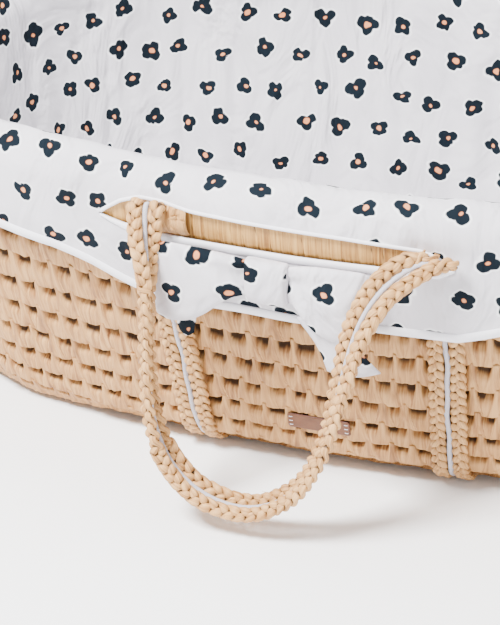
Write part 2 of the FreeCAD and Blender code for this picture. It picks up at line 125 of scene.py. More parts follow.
class Paint:
    """A short way to write a node material."""

    def __init__(self, name):
        self.material = bpy.data.materials.new(name)
        self.material.use_nodes = True
        self.tree = self.material.node_tree
        self.shader = self.tree.nodes["Principled BSDF"]

    def node(self, kind, **settings):
        made = self.tree.nodes.new(kind)
        for key, value in settings.items():
            setattr(made, key, value)
        return made

    def feed(self, socket, value):
        if isinstance(value, Value):
            value = value.socket
        if isinstance(value, bpy.types.NodeSocket):
            self.tree.links.new(value, socket)
        elif isinstance(value, tuple) and len(value) == 3 and len(getattr(
                socket, "default_value", (0,) * 3)) == 4:
            socket.default_value = (*value, 1)
        else:
            socket.default_value = value

    def sum(self, operation, first, second=0.0, third=0.0):
        made = self.node("ShaderNodeMath", operation=operation)
        for socket, value in zip(made.inputs, (first, second, third)):
            self.feed(socket, value)
        return Value(self, made.outputs[0])

    def split(self, kind, vector):
        made = self.node(kind)
        self.feed(made.inputs[0], vector)
        return [Value(self, socket) for socket in made.outputs]

    def space(self, name):
        return self.node("ShaderNodeTexCoord").outputs[name]

    def fact(self, name):
        return Value(self, self.node("ShaderNodeAttribute", attribute_name=name).outputs["Fac"])

    def scaled(self, vector, by):
        made = self.node("ShaderNodeMapping")
        self.feed(made.inputs["Vector"], vector)
        made.inputs["Scale"].default_value = by
        return made.outputs[0]

    def noise(self, where, detail=3.0, rough=0.55, distortion=0.0):
        vector, scale = where
        made = self.node("ShaderNodeTexNoise")
        for name, value in (("Vector", vector), ("Scale", scale), ("Detail", detail),
                            ("Roughness", rough), ("Distortion", distortion)):
            self.feed(made.inputs[name], value)
        return Value(self, made.outputs["Fac"])

    def ramp(self, value, *stops):
        made = self.node("ShaderNodeValToRGB")
        self.feed(made.inputs[0], value)
        elements = made.color_ramp.elements
        while len(elements) < len(stops):
            elements.new(0.5)
        for element, (place, colour) in zip(elements, stops):
            element.position = place
            element.color = (*colour, 1)
        return made.outputs[0]

    def mix(self, share, first, second):
        made = self.node("ShaderNodeMix", data_type="RGBA")
        for place, value in ((0, share), (6, first), (7, second)):
            self.feed(made.inputs[place], value)
        return made.outputs[2]

    def step(self, value, low, high, start=0.0, stop=1.0):
        made = self.node("ShaderNodeMapRange", interpolation_type="SMOOTHSTEP")
        self.feed(made.inputs["Value"], value)
        for name, number in (("From Min", low), ("From Max", high),
                             ("To Min", start), ("To Max", stop)):
            made.inputs[name].default_value = number
        return made.outputs[0]

    def bump(self, height, strength, distance, under=None):
        made = self.node("ShaderNodeBump")
        if under is not None:
            self.feed(made.inputs["Normal"], under)
        self.feed(made.inputs["Height"], height)
        made.inputs["Strength"].default_value = strength
        made.inputs["Distance"].default_value = distance
        return made.outputs[0]

    def finish(self, colour, roughness, normal=None, **sockets):
        self.feed(self.shader.inputs["Base Color"], colour)
        self.feed(self.shader.inputs["Roughness"], roughness)
        if normal is not None:
            self.feed(self.shader.inputs["Normal"], normal)
        for name, value in sockets.items():
            self.feed(self.shader.inputs[name.replace("_", " ")], value)
        return self.material


def husk(name, light, middle, dark, across, along, gloss=0.55):
    """Dried husk: streaks along the fibres, tinted from wrap to wrap, with painted shade where the
    per-vertex attribute goes below zero.
    """
    paint = Paint(name)
    uv = paint.space("UV")
    streaks = paint.noise((paint.scaled(uv, (across, along, 1)), 1.0), 4.0, 0.62, 0.3)
    lines = paint.noise((paint.scaled(uv, (across * 2.7, along * 0.6, 1)), 1.0), 2.0)
    blotch = paint.noise((paint.space("Object"), 55), 2.0)
    colour = paint.ramp(streaks, (0.29, dark), (0.46, middle), (0.60, light))
    colour = paint.mix(paint.step(paint.fact("tint"), 0.0, 1.0, 0.0, 0.5), colour,
                       paint.ramp(lines, (0.35, middle), (0.6, light)))
    colour = paint.mix(paint.step(lines, 0.30, 0.40, 0.38, 0.0), colour, dark)
    colour = paint.mix(paint.step(blotch, 0.35, 0.7, 0.0, 0.28), colour, light)
    # Painted shade: below zero the attribute turns the husk nearly black-brown, standing in for the
    # shade under lips, between wraps and deep in plaits.
    recess_shade = paint.step(paint.fact("tint"), -1.0, 0.0, 0.93, 0.0)
    colour = paint.mix(recess_shade, colour, tuple(0.18 * channel for channel in dark))
    return paint.finish(colour, streaks * 0.25 + (gloss - 0.1),
                        paint.bump(streaks + lines * 0.5, 0.8, 0.0006), Specular_IOR_Level=0.35)


THREADS = 640


def woven_bump(paint, size):
    """The fine plain weave of cotton, from two crossed waves."""
    uv = paint.space("UV")
    waves = []
    for direction in ("X", "Y"):
        wave = paint.node("ShaderNodeTexWave", bands_direction=direction)
        paint.feed(wave.inputs["Vector"], uv)
        wave.inputs["Scale"].default_value = size
        wave.inputs["Distortion"].default_value = 0.6
        waves.append(wave.outputs["Fac"])
    return paint.sum("MAXIMUM", *waves) + paint.noise((uv, 420), 2.0)


def printed_cotton():
    """White cotton with animal spots: dark lobes round a peach centre, in a loose brick layout."""
    paint = Paint("printed_cotton")
    pitch, jitter, wobble = 0.036, 0.34, 0.5
    across, up, _ = paint.split("ShaderNodeSeparateXYZ", paint.space("UV"))
    up = up / (pitch * 0.92)
    row = paint.sum("FLOOR", up)
    across = across / pitch + row * 0.5
    column = paint.sum("FLOOR", across)
    lottery = []
    for seed in (3.0, 11.0, 23.0):
        cell = paint.node("ShaderNodeCombineXYZ")
        for socket, value in zip(cell.inputs, (column, row, seed)):
            paint.feed(socket, value)
        white = paint.node("ShaderNodeTexWhiteNoise", noise_dimensions="3D")
        paint.feed(white.inputs["Vector"], cell.outputs[0])
        lottery += paint.split("ShaderNodeSeparateColor", white.outputs["Color"])
    size = lottery[2] * 0.07 + 0.255
    uv = paint.space("UV")
    x, y = ((paint.sum("FRACT", place) - (lot * jitter + (0.5 - jitter / 2))) / size
            + (paint.noise(where, 1.0) * wobble + -wobble / 2)
            for place, lot, where in ((across, lottery[0], (uv, 105)),
                                      (up, lottery[1], (paint.scaled(uv, (1.3, 0.8, 1)), 97))))
    angle = lottery[3] * (2 * math.pi)
    sine, cosine = paint.sum("SINE", angle), paint.sum("COSINE", angle)
    turned_x = x * cosine - y * sine
    turned_y = (x * sine + y * cosine) * (lottery[4] * 0.5 + 0.85)

    def disc(place_x, place_y, radius):
        gap_x, gap_y = turned_x - place_x, turned_y - place_y
        return paint.sum("SQRT", gap_x * gap_x + gap_y * gap_y) - radius

    lobes = [(0.40, 0.10, 0.50), (-0.26, 0.36, 0.47), (-0.30, -0.34, 0.48)]
    dark = disc(*lobes[0])
    for lobe in lobes[1:]:
        dark = paint.sum("SMOOTH_MIN", dark, disc(*lobe), 0.16)
    dark = paint.sum("SMOOTH_MIN", dark, disc(0.2, -0.46, lottery[5] * 0.75 + -0.2), 0.1)
    peach = disc(0.0, -0.04, lottery[6] * 0.16 + 0.12)
    cloth = paint.noise((paint.space("UV"), 14), 2.0)
    colour = paint.ramp(cloth, (0.3, (0.585, 0.56, 0.60)), (0.7, (0.66, 0.635, 0.67)))
    colour = paint.mix(paint.step(dark, 0.05, 0.24, 0.75, 0.0), colour, (0.90, 0.90, 0.91))
    navy = paint.ramp(cloth, (0.3, (0.002, 0.005, 0.009)), (0.7, (0.004, 0.009, 0.015)))
    peach_tone = paint.ramp(cloth, (0.3, (0.62, 0.21, 0.08)), (0.7, (0.75, 0.30, 0.13)))
    colour = paint.mix(paint.step(dark, -0.05, 0.05, 1.0, 0.0), colour, navy)
    colour = paint.mix(paint.step(peach, -0.05, 0.05, 1.0, 0.0), colour, peach_tone)
    folds = paint.noise((paint.scaled(paint.space("Object"), (1.0, 1.0, 0.55)), 17), 3.0, 0.5, 1.4)
    soft = paint.bump(folds, 0.85, 0.014)
    return paint.finish(colour, 0.85, paint.bump(woven_bump(paint, THREADS), 0.25, 0.0003, soft),
                        Specular_IOR_Level=0.12)


def plain_cotton(name, low, high):
    paint = Paint(name)
    tone = paint.noise((paint.space("Object"), 30), 2.0)
    return paint.finish(paint.ramp(tone, (0.3, low), (0.7, high)), 0.85,
                        paint.bump(woven_bump(paint, THREADS), 0.3, 0.0003),
                        Specular_IOR_Level=0.12)


def twisted_cotton():
    """The grey cord: yarns running round it at a slant."""
    paint = Paint("cotton_cord")
    wave = paint.node("ShaderNodeTexWave", bands_direction="DIAGONAL")
    paint.feed(wave.inputs["Vector"], paint.space("UV"))
    wave.inputs["Scale"].default_value = 420
    wave.inputs["Distortion"].default_value = 1.2
    fuzz = paint.noise((paint.space("Object"), 900), 2.0)
    colour = paint.ramp(wave.outputs["Fac"], (0.2, (0.38, 0.37, 0.42)), (0.8, (0.60, 0.58, 0.62)))
    return paint.finish(colour, 0.9, paint.bump(fuzz + wave.outputs["Fac"], 0.6, 0.0004),
                        Specular_IOR_Level=0.15)


def leather():
    paint = Paint("tan_leather")
    cells = paint.node("ShaderNodeTexVoronoi", feature="DISTANCE_TO_EDGE")
    paint.feed(cells.inputs["Vector"], paint.space("Object"))
    cells.inputs["Scale"].default_value = 1500
    patina = paint.noise((paint.space("Object"), 90), 4.0)
    colour = paint.ramp(patina, (0.3, (0.085, 0.024, 0.004)), (0.7, (0.15, 0.045, 0.009)))
    edge = paint.step(paint.fact("tint"), 0.4, 1.0, 0.0, 0.75)
    colour = paint.mix(edge, colour, (0.08, 0.022, 0.022))
    return paint.finish(colour, 0.5, paint.bump(cells.outputs["Distance"], 0.4, 0.0002))


def pole_wood():
    paint = Paint("pole_wood")
    grain = paint.noise((paint.scaled(paint.space("Object"), (6, 60, 60)), 1.0), 4.0)
    return paint.finish(paint.ramp(grain, (0.3, (0.30, 0.17, 0.08)), (0.7, (0.50, 0.32, 0.17))),
                        0.6, paint.bump(grain, 0.3, 0.0004))


# ------------------------------------------------------------------ ovals

END_RATIO = 0.87
RIM = (400.0, 220.0)
RIM_HEIGHT = 234.6
CLOTH_DEPTH, CLOTH_RISE = 20.4, 28.4
FLOORS = (8.2, 20, 37, 57, 79, 103, 128, 154, 180, 206)


def oval_facts(half_length, half_width):
    end = END_RATIO * half_width
    reach = half_length - end
    side = (reach ** 2 + half_width ** 2 - end ** 2) / (2 * (half_width - end))
    turn = np.arctan2(side - half_width, reach)
    return end, side, reach, side - half_width, turn


def oval(half_length, half_width, outset, lap):
    """Points and outward normals of the four-arc oval. lap runs 0 to 4 from the near middle."""
    end, side, reach, drop, turn = oval_facts(half_length, half_width)
    shifted = np.asarray(lap) + 0.5
    arc = np.floor(shifted).astype(int) % 4
    share = shifted - np.floor(shifted)
    is_side = arc % 2 == 0
    span = np.where(is_side, np.pi - 2 * turn, 2 * turn)
    start = np.choose(arc, [np.pi + turn, -turn, turn, np.pi - turn])
    angle = start + share * span
    radius = np.where(is_side, side, end) + outset
    centre_x = np.choose(arc, [0 * turn, reach, 0 * turn, -reach])
    centre_y = np.choose(arc, [drop, 0 * turn, -drop, 0 * turn])
    normal = np.stack([np.cos(angle), np.sin(angle)], -1)
    return np.stack([centre_x, centre_y], -1) + radius[..., None] * normal, normal


def laps(count, half_length, half_width, outset=0.0, start=0.0):
    """Evenly spaced lap numbers, their distances along the oval, and its length."""
    end, side, _, _, turn = oval_facts(half_length, half_width)
    long_arc = (side + outset) * (np.pi - 2 * turn)
    short_arc = (end + outset) * 2 * turn
    length = 2 * (long_arc + short_arc)
    distance = np.arange(count) * length / count
    marks = np.cumsum([0, long_arc / 2, short_arc, long_arc, short_arc, long_arc / 2])
    lap = np.interp((distance + np.interp(start, (0, .5, 1.5, 2.5, 3.5, 4), marks)) % length,
                    marks, (0, 0.5, 1.5, 2.5, 3.5, 4.0))
    return lap, distance, length


def wall_outside(height):
    share = (np.asarray(height) - FLOORS[0]) / (FLOORS[-1] - FLOORS[0])
    return 378.5 + 36 * share, 179.6 + 50 * share


def ripple(distance, length, waves, rng):
    """Smooth noise round a loop, as (wave count, size) pairs with random phases."""
    total = np.zeros_like(distance, float)
    for count, size in waves:
        total += size * np.sin(2 * np.pi * round(count) * distance / length
                               + rng.uniform(0, 2 * np.pi))
    return total


def smooth(value):
    value = np.clip(value, 0, 1)
    return value * value * (3 - 2 * value)


# ------------------------------------------------------------------ mesh making

class Build:
    """Collects grids of points into one mesh with a UV map and a tint attribute, whose values below
    zero are painted shade.
    """

    def __init__(self):
        self.points, self.faces, self.uvs, self.tints, self.count = [], [], [], [], 0

    def grid(self, points, uv, tint=0.0, loop_rows=False, loop_columns=False, flip=False):
        """points is rows x columns x 3. uv has one more row or column where that way loops."""
        rows, columns = points.shape[:2]
        index = np.arange(rows * columns).reshape(rows, columns) + self.count
        across = np.concatenate([index, index[:, :1]], 1) if loop_columns else index
        full = np.concatenate([across, across[:1]], 0) if loop_rows else across
        faces = np.stack([full[:-1, :-1], full[:-1, 1:], full[1:, 1:], full[1:, :-1]], -1)
        corners = np.stack([uv[:-1, :-1], uv[:-1, 1:], uv[1:, 1:], uv[1:, :-1]], -2)
        if flip:
            faces, corners = faces[..., ::-1], corners[..., ::-1, :]
        self.faces.append(faces.reshape(-1, 4))
        self.uvs.append(corners.reshape(-1, 2))
        self.points.append(points.reshape(-1, 3))
        self.tints.append(np.broadcast_to(tint, (rows, columns)).ravel())
        self.count += rows * columns
        return index

    def cap(self, ring, flip=False):
        """Closes a ring of indices with quads and triangles to a middle point."""
        flat = np.concatenate(self.points)
        middle = flat[ring].mean(0)
        self.points.append(middle[None])
        self.tints.append(np.zeros(1))
        centre = self.count
        self.count += 1
        after = np.roll(ring, -1)
        faces = np.stack([ring, after, np.full_like(ring, centre), np.full_like(ring, -1)], -1)
        if flip:
            faces = faces[:, [1, 0, 2, 3]]
        self.faces.append(faces)
        self.uvs.append(np.zeros((len(ring) * 3, 2)))

    def closed(self, rings, uv, tint=0.0):
        """A form lofted through rings of points, closed at both ends."""
        index = self.grid(rings, uv, tint, loop_columns=True)
        self.cap(index[0], flip=True)
        self.cap(index[-1])

    def turn(self):
        """Half a turn round the vertical axis, for the far side."""
        self.points = [turned(points) for points in self.points]

    def part(self, name, *arguments):
        """The piece that takes the place of the CAD node of the same name."""
        piece = self.object(name, *arguments)
        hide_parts(name)
        return piece

    def object(self, name, material, slot=None, body="basket", join=False, ride=True):
        points = np.concatenate(self.points) * MM
        mesh = bpy.data.meshes.new(name)
        faces = np.concatenate(self.faces)
        corners = faces[faces >= 0]
        sizes = (faces >= 0).sum(1)
        mesh.vertices.add(len(points))
        mesh.vertices.foreach_set("co", points.astype(np.float32).ravel())
        mesh.loops.add(len(corners))
        mesh.loops.foreach_set("vertex_index", corners.astype(np.int32))
        mesh.polygons.add(len(faces))
        starts = np.concatenate([[0], np.cumsum(sizes)[:-1]])
        mesh.polygons.foreach_set("loop_start", starts.astype(np.int32))
        mesh.update(calc_edges=True)
        layer = mesh.uv_layers.new(name="UVMap")
        layer.data.foreach_set("uv", np.concatenate(self.uvs).astype(np.float32).ravel())
        tint = mesh.attributes.new("tint", "FLOAT", "POINT")
        tint.data.foreach_set("value", np.concatenate(self.tints).astype(np.float32))
        mesh.validate()
        if join:
            import bmesh
            work = bmesh.new()
            work.from_mesh(mesh)
            bmesh.ops.remove_doubles(work, verts=work.verts, dist=1e-6)
            work.to_mesh(mesh)
            work.free()
        mesh.polygons.foreach_set("use_smooth", np.ones(len(mesh.polygons), bool))
        mesh.materials.append(material)
        piece = bpy.data.objects.new(name + "_shape", mesh)
        bpy.context.scene.collection.objects.link(piece)
        if ride:
            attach(piece, body)
        return piece


def loop_uv(rows, first, distance, length):
    """UV grid of a loop: distance round it, and one number per row."""
    across = np.append(distance, length)
    if np.ndim(first) == 1:
        first = np.repeat(np.asarray(first)[:, None], len(across), 1)
    else:
        first = np.concatenate([first, first[:, :1]], 1)
    return np.stack([np.broadcast_to(across, (rows, len(across))), first], -1) * MM


def flat_uv(points, axes, shift=(0, 0)):
    """The UV grid of looped rings, seen flat along the third axis."""
    return (np.concatenate([points, points[:, :1]], 1)[..., list(axes)] + shift) * MM


def raised(place, height):
    """Points of the plan at a height, or at one height each."""
    tall = np.broadcast_to(height, place.shape[:-1])
    return np.concatenate([place, tall[..., None]], -1)


def turned(points):
    """The same points half a turn round the vertical axis."""
    return points * np.array([-1, -1, 1])


def unit(vectors):
    return vectors / np.maximum(np.linalg.norm(vectors, axis=-1, keepdims=True), 1e-9)


def nurbs(points, steps=14):
    """Points along a smooth order-3 spline with these control points, in millimetres."""
    data = bpy.data.curves.new("route", "CURVE")
    data.dimensions = "3D"
    data.resolution_u = steps
    spline = data.splines.new("NURBS")
    spline.points.add(len(points) - 1)
    for point, place in zip(spline.points, points):
        point.co = (*(np.asarray(place, float) * MM), 1)
    spline.order_u = 3
    spline.use_endpoint_u = True
    thing = bpy.data.objects.new("route", data)
    bpy.context.scene.collection.objects.link(thing)
    mesh = bpy.data.meshes.new_from_object(thing)
    found = np.array([v.co for v in mesh.vertices]) / MM
    bpy.data.objects.remove(thing)
    bpy.data.curves.remove(data)
    bpy.data.meshes.remove(mesh)
    return found


def lengths(path):
    """How far along the path each of its points is."""
    return np.concatenate([[0], np.cumsum(np.linalg.norm(np.diff(path, axis=0), axis=1))])


def even(path, spacing):
    """The same line, resampled evenly."""
    along = lengths(path)
    count = max(4, int(along[-1] / spacing) + 1)
    wanted = np.linspace(0, along[-1], count)
    return np.stack([np.interp(wanted, along, path[:, k]) for k in range(3)], 1), wanted


def tube(build, path, side, wide, thick, ring=10, pleats=0.0, phase=0.0, tint=0.0, seed=0.0,
         crease=None):
    """A closed tube along a path. side is the direction of its width, once or at each point.
    crease paints shade on what lies deep inside a plait: its middle line and two scaled directions."""
    tangent = unit(np.gradient(path, axis=0))
    side = np.asarray(side, float)
    side = unit(side - (side * tangent).sum(1, keepdims=True) * tangent)
    up = np.cross(tangent, side)
    angle = np.linspace(0, 2 * np.pi, ring, endpoint=False)
    swell = 1 + pleats * np.cos(angle * 3 + phase) + pleats * 0.6 * np.cos(angle * 5 - phase + seed)
    wide = np.broadcast_to(wide, len(path))[:, None]
    thick = np.broadcast_to(thick, len(path))[:, None]
    points = (path[:, None] + side[:, None] * (wide * np.cos(angle) * swell)[..., None]
              + up[:, None] * (thick * np.sin(angle) * swell)[..., None])
    along = lengths(path)
    if crease is not None:
        offset = points - crease[0][:, None]
        reach = np.sqrt(sum((offset * way[:, None]).sum(-1) ** 2 for way in crease[1:]))
        # Painted shade: the strand is darkened where it lies close to the plait's middle line.
        tint = tint - 1.5 * smooth((0.86 - reach) / 0.42)
    round_uv = np.linspace(0, 1, ring + 1) * 16 + seed * 37
    uv = np.stack([np.broadcast_to(round_uv, (len(path), ring + 1)),
                   np.broadcast_to(along[:, None], (len(path), ring + 1))], -1) * MM
    build.closed(points, uv, tint)


def plait(build, path, flat, amplitude, depth, wide, thick, period, rng, fray, reach,
          start_phase):
    """A three-strand plait along a path. flat is the direction of its broad side."""
    tangent = unit(np.gradient(path, axis=0))
    flat = unit(flat - (flat * tangent).sum(1, keepdims=True) * tangent)
    face = np.cross(tangent, flat)
    along = lengths(path)
    wander = (along / period + 0.06 * np.sin(along / 41 + start_phase * 9)
              + 0.04 * np.sin(along / 17 + start_phase * 5))
    for strand in range(3):
        turn = 2 * np.pi * (wander + strand / 3) + start_phase
        line = (path + flat * (amplitude * np.sin(turn))[:, None]
                + face * (depth * np.sin(2 * turn))[:, None])
        lobe = np.sin(2 * turn) ** 2
        uneven = 1 + 0.10 * np.sin(along / 9.7 + strand * 2.1 + start_phase * 3)
        size = (0.84 + 0.22 * lobe) * uneven
        tint = 0.5 + 0.5 * np.sin(along / 11.3 + strand * 1.9 + start_phase)
        tube(build, line, flat, wide * size, thick * size, ring=12, pleats=0.055,
             phase=strand * 1.3, tint=tint[:, None], seed=strand + start_phase,
             crease=(path, flat / (amplitude + wide), face / (depth + thick)))
    count = int(fray * along[-1] / 10)
    for _ in range(count):
        at = rng.integers(3, len(path) - 4)
        if path[at][2] < 14:
            continue
        angle = rng.uniform(0, 2 * np.pi)
        out = flat[at] * np.cos(angle) + face[at] * np.sin(angle)
        lean = tangent[at] * rng.choice([-1, 1]) * rng.uniform(0.8, 1.8)
        size = rng.uniform(2.5, reach)
        root = path[at] + flat[at] * np.cos(angle) * (amplitude + wide - 1.2) \
            + face[at] * np.sin(angle) * (depth + thick - 1.2)
        bend = rng.normal(size=3) * 0.2
        share = np.linspace(0, 1, 6)[:, None]
        line = root + size * (share * unit(out * 0.45 + lean)[None] + share ** 2 * bend[None])
        width = rng.uniform(0.5, 1.0) * (1 - share[:, 0]) + 0.06
        tube(build, line, np.cross(out, lean), width, width * 0.28, ring=5,
             tint=rng.uniform(), seed=rng.uniform(0, 9))


camera()
studio()


# ------------------------------------------------------------------ the woven wall and base

CELL = 19.0
COIL_WIDTH = 33


def tie_places(number, length, rng):
    """Where a course's husk ties stand: distances round it, and a width and a lean for each."""
    count = int(round(length / CELL))
    pitch = length / count
    places = (np.arange(count) + 0.5 * (number % 2) + rng.normal(0, 0.085, count)) * pitch
    return places, rng.uniform(0.75, 1.2, count), rng.normal(0, 1.3, count)


def nearest(distance, places, length):
    """Signed distance to the nearest place round the loop, and its index."""
    order = np.argsort(places)
    ranked = places[order]
    wrapped = np.concatenate([ranked[-1:] - length, ranked, ranked[:1] + length])
    names = np.concatenate([order[-1:], order, order[:1]])
    after = np.clip(np.searchsorted(wrapped, distance), 1, len(wrapped) - 1)
    pick = np.where(distance - wrapped[after - 1] < wrapped[after] - distance, after - 1, after)
    return distance - wrapped[pick], names[pick]


def woven_course(name, number, ties, below, material):
    """One coil of the wall: husk wraps that flare down to a lip, drawn in by narrow ties."""
    rng = np.random.default_rng(100 + number)
    low, high = FLOORS[number - 1], FLOORS[number]
    size = wall_outside((low + high) / 2)
    cells, wideness, leaning = ties[number]
    _, _, length = laps(8, *size)
    count = int(length / 1.2)
    lap, distance, length = laps(count, *size, start=1.0)
    rows = 13
    down = np.linspace(0, 1, rows)[:, None]
    away, index = nearest(distance, cells, length)
    lean = leaning[index] * (down - 0.4)
    half = (3.3 + 4.6 * down ** 1.8) * wideness[index]
    gap = away - lean
    tie = smooth((half - np.abs(gap)) / 1.5 + 0.25)
    fan = gap / half
    inward = smooth((down - 0.16) / 0.42)
    hump = 7.6 * (1 - inward) + 0.9 * (1 - down)
    pleat = 0.20 * np.sin(fan * 6.0 + index * 1.7) * (0.5 + 0.5 * down)
    wobble = ripple(distance, length, [(length / 47, 0.35), (length / 90, 0.5),
                                       (length / 23, 0.22)], rng)
    window = -6.2 + 8.6 * inward
    window = window + 0.28 * ripple(distance, length, [(length / 5.3, 0.5), (length / 3.7, 0.4),
                                                       (length / 7.9, 0.6)], rng)
    out = window + tie * (hump + pleat) + wobble
    crest = high + 0.6
    lip = low - 1.1 + ripple(distance, length, [(length / 60, 0.45), (length / 19, 0.25)], rng)
    lip = lip - 0.5 * tie[-1]
    if below is not None:
        # The ties of the course below grip this lip.
        scaled = ties[below][0] * (length / laps(8, *wall_outside(
            (FLOORS[below - 1] + FLOORS[below]) / 2))[2])
        grip, _ = nearest(distance, scaled, length)
        pinch = np.exp(-(grip / 2.4) ** 2)
        lip = lip + 1.2 * pinch
        out = out - 1.1 * pinch * smooth((down - 0.75) / 0.25)
    else:
        # The lowest coil turns in under the basket.
        across_middle = np.abs(oval(*size, 0.0, lap)[0][:, 0])
        out = out - np.interp(across_middle, (120, 230), (16, 5)) * smooth(down / 0.9)
    top = crest + 1.2 * tie[0]
    height = top + (lip - top) * down
    half_length, half_width = wall_outside(height)
    band = [(height, out, half_length, half_width)]
    thickness = 13.0 if number > 1 else 22.0
    inset = 2.0 if number > 1 else 10.0

    def row(at, reach):
        a, b = wall_outside(at)
        band.append((at[None], reach[None], a[None], b[None]))

    level = np.zeros(count)
    row(lip - 0.2, out[-1] - 1.0)
    row(lip + 0.6, level - inset)
    row(level + low + 0.4, level - thickness + 2)
    row(level + low + 3.0, level - thickness)
    row(level + high - 3.0, level - thickness)
    row(level + high - 0.4, level - thickness + 2)
    row(crest + level - 0.4, level - 4.0)
    height, out, half_length, half_width = (np.concatenate([b[k] for b in band])
                                            for k in range(4))
    place, _ = oval(half_length, half_width, out, np.broadcast_to(lap, height.shape))
    points = raised(place, height)
    fibre = distance + (fan * 3.2 - gap) * tie
    fibre = np.concatenate([fibre, np.repeat(distance[None], 8, 0)])[: len(height) + 1]
    down_uv = np.concatenate([down[:, 0] * (high - low),
                              (high - low) + np.array([1, 3, 12, 15, 30, 34, 40, 44.0])])
    tint_of = rng.uniform(0, 1, len(cells))
    tint = np.where(tie > 0.5, tint_of[index], tint_of[(index * 7 + np.sign(gap).astype(int))
                                                       % len(cells)])
    # Painted shade: the window tops under the lip of the course above are darkened through a
    # negative value.
    tint = tint - 1.9 * (1 - tie) * (1 - inward)
    tint = np.concatenate([tint, np.full((len(height) - rows, count), 0.3)])
    across = np.concatenate([fibre, fibre[:, :1] + length], 1)
    uv = np.stack([across, np.broadcast_to(down_uv[:, None] + number * 61, across.shape)], -1) * MM
    build = Build()
    build.grid(points, uv, tint, loop_rows=True, loop_columns=True, flip=True)
    build.part(name, material, "husk_weave")


def base_ring(name, outer, width, material, rng):
    """One flat coil of the base: ties round it show on both faces."""
    size = (outer[0], outer[1])
    _, _, length = laps(8, *size, -width / 2)
    count = int(length / 2.2)
    lap, distance, length = laps(count, *size, -width / 2, start=1.0)
    profile = np.linspace(0, 2 * np.pi, 22, endpoint=False)[:, None]
    cells = (np.arange(int(length / CELL)) + rng.uniform()) * length / int(length / CELL)
    gap, index = nearest(distance, cells, length)
    pinch = np.exp(-(gap / 2.2) ** 2)
    swell = 1 - 0.10 * pinch
    square = (np.abs(np.cos(profile)) ** 4 + np.abs(np.sin(profile)) ** 4) ** -0.25
    out = -width / 2 + (width / 2 - 0.3) * np.cos(profile) * square
    height = 14.0 + 5.7 * np.sin(profile) * square * swell
    out = out + 0 * distance
    points = raised(oval(*size, out, np.broadcast_to(lap, out.shape))[0], height)
    uv = loop_uv(23, np.linspace(0, 2 * width, 23), distance, length)
    build = Build()
    build.grid(points, uv, rng.uniform(0, 1, len(cells))[index], loop_rows=True,
               loop_columns=True, flip=True)
    build.part(name, material, "husk_weave")


def base_middle(name, outer, material):
    """The innermost coil, a flat closed oval."""
    lap, distance, length = laps(180, *outer)
    profile = [(-outer[1] + 2, 8.4), (-outer[1] * 0.5, 8.3), (-3, 8.4), (-0.4, 9.8), (-0.3, 14),
               (-0.4, 18.2), (-3, 19.6), (-outer[1] * 0.5, 19.7), (-outer[1] + 2, 19.6)]
    rings = np.array([raised(oval(*outer, np.full(len(lap), out), lap)[0], height)
                      for out, height in profile])
    build = Build()
    build.closed(rings, loop_uv(len(rings), np.arange(len(rings)) * 20.0, distance, length), 0.4)
    build.part(name, material, "husk_weave")


def basket_weave(material):
    rng = np.random.default_rng(5)
    ties = {}
    for number in range(1, 10):
        length = laps(8, *wall_outside((FLOORS[number - 1] + FLOORS[number]) / 2))[2]
        ties[number] = tie_places(number, length, rng)
    for number in range(1, 10):
        woven_course(f"wall_course_{number}", number, ties, number - 1 if number > 1 else None,
                     material)
    edge = np.array(wall_outside(14.1)) - 5 - 14 - 0.4
    for turn in range(4):
        base_ring(f"base_coil_{turn + 1}", edge - COIL_WIDTH * turn, COIL_WIDTH, material, rng)
    base_middle("base_centre", edge - 4 * COIL_WIDTH, material)


# ------------------------------------------------------------------ the rim under the cloth

def rim_wrapping(material):
    """Husk ribbon wound tightly round the rim's pole, each turn over the edge of the last."""
    rng = np.random.default_rng(8)
    lap, distance, length = laps(1900, *RIM, start=1.0)
    angle = np.linspace(0, 2 * np.pi, 40, endpoint=False)[:, None]
    turns = int(length / 9.5)
    slant = 3.2 * np.sin(angle)
    place = (distance + slant + ripple(distance, length, [(length / 83, 1.6), (length / 37, 0.9)],
                                       rng)) % length * turns / length
    share = place - np.floor(place)
    step = 0.9 * smooth(share / 0.16) * (1 - 0.55 * share) - 0.4
    crinkle = 0.12 * np.sin(place * 2 * np.pi * 4 + np.floor(place) * 2.3)
    tint = rng.uniform(0, 1, turns + 3)[np.floor(place).astype(int)]
    # Painted shade: a turn is darkened where it starts, in the step under its neighbour's edge, and
    # lightly at its own edge.
    tint = tint - 1.1 * (1 - smooth(share / 0.10)) - 0.35 * (1 - smooth((1 - share) / 0.10))
    size = 1.4 * step + crinkle
    # The wrapping bulges square where it faces the slot, and is round elsewhere.
    power = np.where((np.cos(angle) > 0) & (np.sin(angle) < 0), 5.0, 2.2)
    full = (np.abs(np.cos(angle)) ** power + np.abs(np.sin(angle)) ** power) ** (-1 / power)
    out = (17.8 + size) * np.cos(angle) * full
    height = RIM_HEIGHT + (25.3 + size) * np.sin(angle) * full
    points = raised(oval(*RIM, out, np.broadcast_to(lap, out.shape))[0], height)
    build = Build()
    build.grid(points, loop_uv(41, np.linspace(0, 138, 41), distance, length), tint,
               loop_rows=True, loop_columns=True, flip=True)
    build.part("rim_wrap", material, "husk_wrap")


# ------------------------------------------------------------------ the cloth cover

# Distance along the skirt, and heights of the slot's lower and upper edges there.
EYE = ((-158, 220, 220), (-150, 218, 226), (-138, 216, 234), (-122, 215, 240), (-104, 214.5, 240),
       (-80, 214, 236.5), (-40, 214, 235), (0, 214, 234.5), (40, 214, 233.5), (75, 214.5, 232),
       (96, 215, 231), (108, 216, 227), (117, 217.5, 221), (122, 218.5, 218.5))


